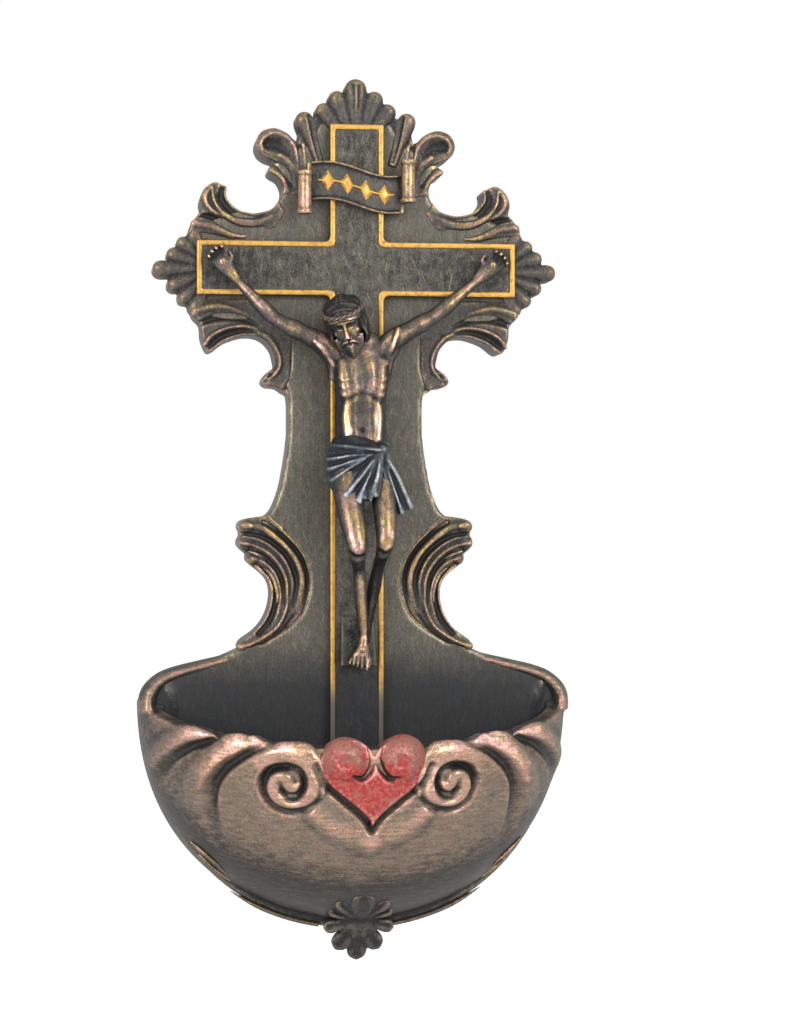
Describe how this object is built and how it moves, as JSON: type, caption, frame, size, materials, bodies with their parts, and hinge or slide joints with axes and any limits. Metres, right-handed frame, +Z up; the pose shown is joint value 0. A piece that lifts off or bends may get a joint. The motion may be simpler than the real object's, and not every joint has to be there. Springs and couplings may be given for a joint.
{
  "type": "holy water stoup",
  "caption": "Wall-hung holy water stoup: an ornamented back plate with a crucifix above a half-round bowl with scrolls and a heart.",
  "frame": {"origin": "point on the wall plane where the top of the hanger's keyhole slot bears on its hook, behind the crossing of the cross", "axes": "+X to the viewer's right, +Y into the wall, +Z up; the front faces -Y"},
  "size_m": [0.1234, 0.0553, 0.2506],
  "materials": {
    "dark_bronze": "cold-cast bronze, dark patina with copper dry-brushed edges",
    "copper_bronze": "cold-cast bronze, warm copper patina brushed crosswise",
    "figure_bronze": "cold-cast bronze, polished copper highlights over a dark wash",
    "gilt": "gold paint, satin",
    "blue_cloth": "dark blue-grey glaze over bronze, pale on the folds",
    "heart_red": "translucent red paint over bronze",
    "zinc_steel": "zinc plated",
    "seal_rubber": "matt"
  },
  "bodies": {
    "root": {"back_plate": "dark_bronze", "cross_panel": "dark_bronze", "gilt_border": "gilt", "title_scroll": "dark_bronze", "title_ornament": "gilt", "corpus_torso": "figure_bronze", "corpus_head": "figure_bronze", "corpus_left_arm": "figure_bronze", "corpus_right_arm": "figure_bronze", "corpus_left_leg": "figure_bronze", "corpus_right_leg": "figure_bronze", "thorn_crown": "dark_bronze", "loincloth": "blue_cloth", "left_hand_nail": "dark_bronze", "right_hand_nail": "dark_bronze", "foot_nail": "dark_bronze", "foot_rest": "dark_bronze", "bowl": "copper_bronze", "bowl_seal": "seal_rubber", "bowl_screw_left": "zinc_steel", "bowl_screw_right": "zinc_steel", "heart_boss": "heart_red", "left_volute": "copper_bronze", "right_volute": "copper_bronze", "left_bead": "dark_bronze", "right_bead": "dark_bronze", "left_leaf_clasp": "dark_bronze", "right_leaf_clasp": "dark_bronze", "pendant_shell": "dark_bronze", "crest_shell": "dark_bronze", "left_crest_leaf": "dark_bronze", "right_crest_leaf": "dark_bronze", "left_side_shell": "dark_bronze", "right_side_shell": "dark_bronze", "left_upper_scroll": "dark_bronze", "right_upper_scroll": "dark_bronze", "left_lower_leaf": "dark_bronze", "right_lower_leaf": "dark_bronze", "left_shaft_scroll": "dark_bronze", "right_shaft_scroll": "dark_bronze", "left_shoulder_rail": "dark_bronze", "right_shoulder_rail": "dark_bronze", "hanger_plate": "zinc_steel", "hanger_screw_left": "zinc_steel", "hanger_screw_right": "zinc_steel"}
  },
  "joints": []
}
